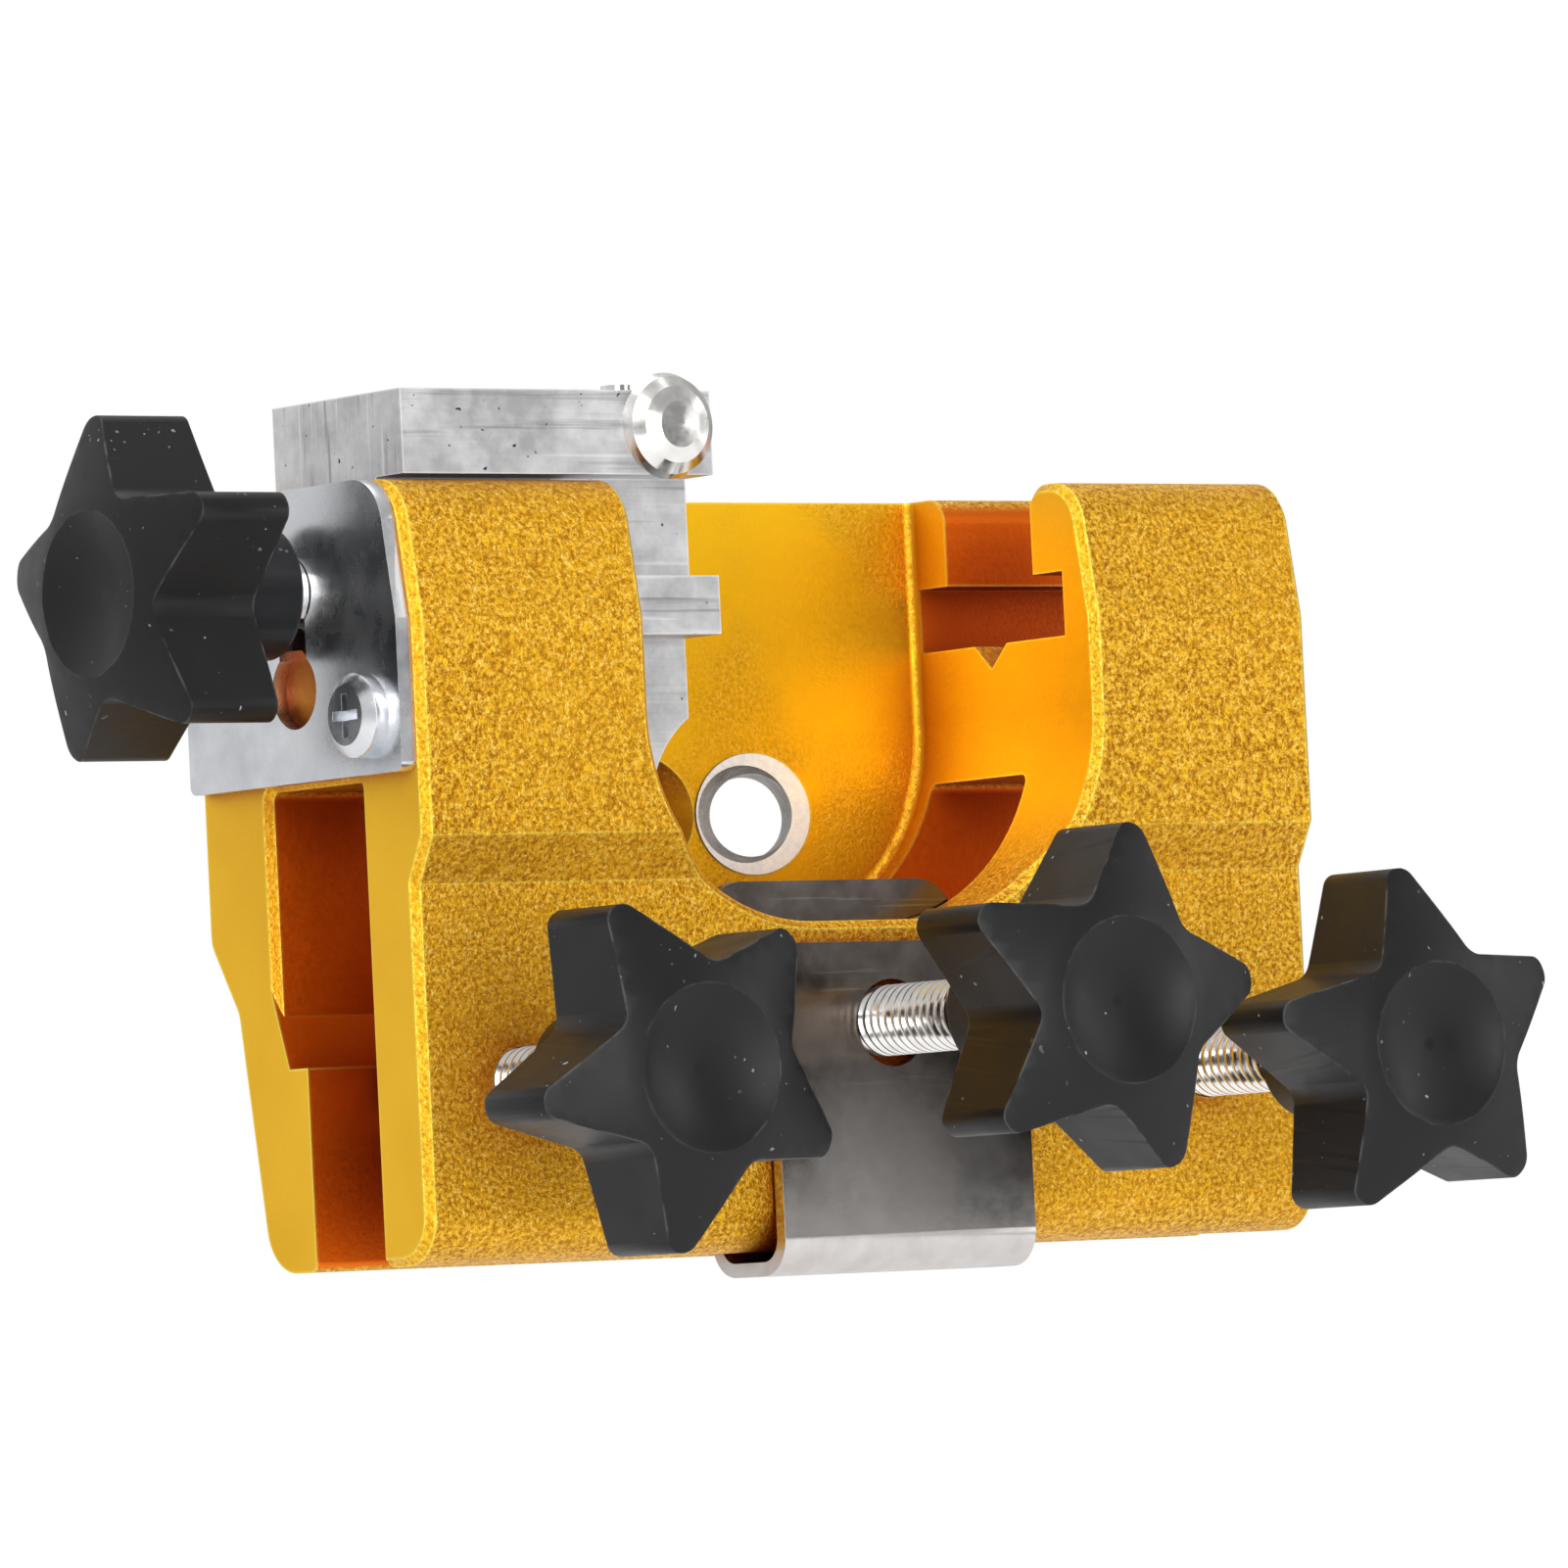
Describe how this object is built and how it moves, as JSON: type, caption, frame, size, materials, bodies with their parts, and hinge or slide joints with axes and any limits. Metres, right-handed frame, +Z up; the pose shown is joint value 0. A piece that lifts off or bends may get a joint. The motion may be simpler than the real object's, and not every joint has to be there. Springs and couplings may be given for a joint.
{
  "type": "chain sharpening jig",
  "caption": "Hand sharpening jig for saw chain: a slotted aluminium body with clamp screws, star knobs, a feed-screw stop slide, a spring clip and a slanted guide sleeve.",
  "frame": {"origin": "middle of the mouth of the guide bar's slot, at the level of the body's feet", "axes": "+X along the extrusion to its right end, +Y to the rear, +Z up from the feet"},
  "size_m": [0.1172, 0.0648, 0.0762],
  "materials": {
    "gold_anodised": "bead-blasted gold anodising",
    "raw_aluminium": "sawn and unfinished",
    "zinc_plate": "zinc plated",
    "nickel_steel": "nickel plated",
    "spring_steel": "cold-rolled, smudged",
    "black_plastic": "satin"
  },
  "bodies": {
    "frame": {"jig_body": "gold_anodised", "guide_sleeve": "nickel_steel", "end_plate": "zinc_plate", "plate_screw_front": "zinc_plate", "plate_screw_rear": "zinc_plate", "spring_clip": "spring_steel"},
    "left_screw": {"clamp_screw_left": "nickel_steel"},
    "left_knob": {"clamp_knob_left": "black_plastic"},
    "middle_screw": {"clamp_screw_middle": "nickel_steel"},
    "middle_knob": {"clamp_knob_middle": "black_plastic"},
    "right_screw": {"clamp_screw_right": "nickel_steel"},
    "right_knob": {"clamp_knob_right": "black_plastic"},
    "feed": {"feed_screw": "nickel_steel", "feed_knob": "black_plastic"},
    "slide": {"stop_slide": "raw_aluminium", "stop_pin": "nickel_steel", "latch_pin": "nickel_steel"}
  },
  "joints": [
    {"name": "left_screw_travel", "type": "slide", "parent": "frame", "child": "left_screw", "axis": [0, 1, 0], "range_m": [-0.009, 0.0033]},
    {"name": "left_knob_turn", "type": "hinge", "parent": "left_screw", "child": "left_knob", "pos_m": [-0.03675, 0, 0.0147], "axis": [0, 1, 0], "range_deg": [-3240, 1188]},
    {"name": "middle_screw_travel", "type": "slide", "parent": "frame", "child": "middle_screw", "axis": [0, 1, 0], "range_m": [-0.0025, 0.0021]},
    {"name": "middle_knob_turn", "type": "hinge", "parent": "middle_screw", "child": "middle_knob", "pos_m": [0.00025, 0, 0.019], "axis": [0, 1, 0], "range_deg": [-900, 756]},
    {"name": "right_screw_travel", "type": "slide", "parent": "frame", "child": "right_screw", "axis": [0, 1, 0], "range_m": [-0.004, 0.0087]},
    {"name": "right_knob_turn", "type": "hinge", "parent": "right_screw", "child": "right_knob", "pos_m": [0.03505, 0, 0.0147], "axis": [0, 1, 0], "range_deg": [-1440, 3132]},
    {"name": "feed_turn", "type": "hinge", "parent": "frame", "child": "feed", "pos_m": [0, 0.00205, 0.0564], "axis": [1, 0, 0], "range_deg": [-7200, 540]},
    {"name": "slide_travel", "type": "slide", "parent": "frame", "child": "slide", "axis": [1, 0, 0], "range_m": [-0.0015, 0.02]}
  ],
  "couplings": [
    {"joint": "left_knob_turn", "follows": "left_screw_travel", "rad_per_m": 6283.2},
    {"joint": "middle_knob_turn", "follows": "middle_screw_travel", "rad_per_m": 6283.2},
    {"joint": "right_knob_turn", "follows": "right_screw_travel", "rad_per_m": 6283.2},
    {"joint": "feed_turn", "follows": "slide_travel", "rad_per_m": -6283.2}
  ]
}
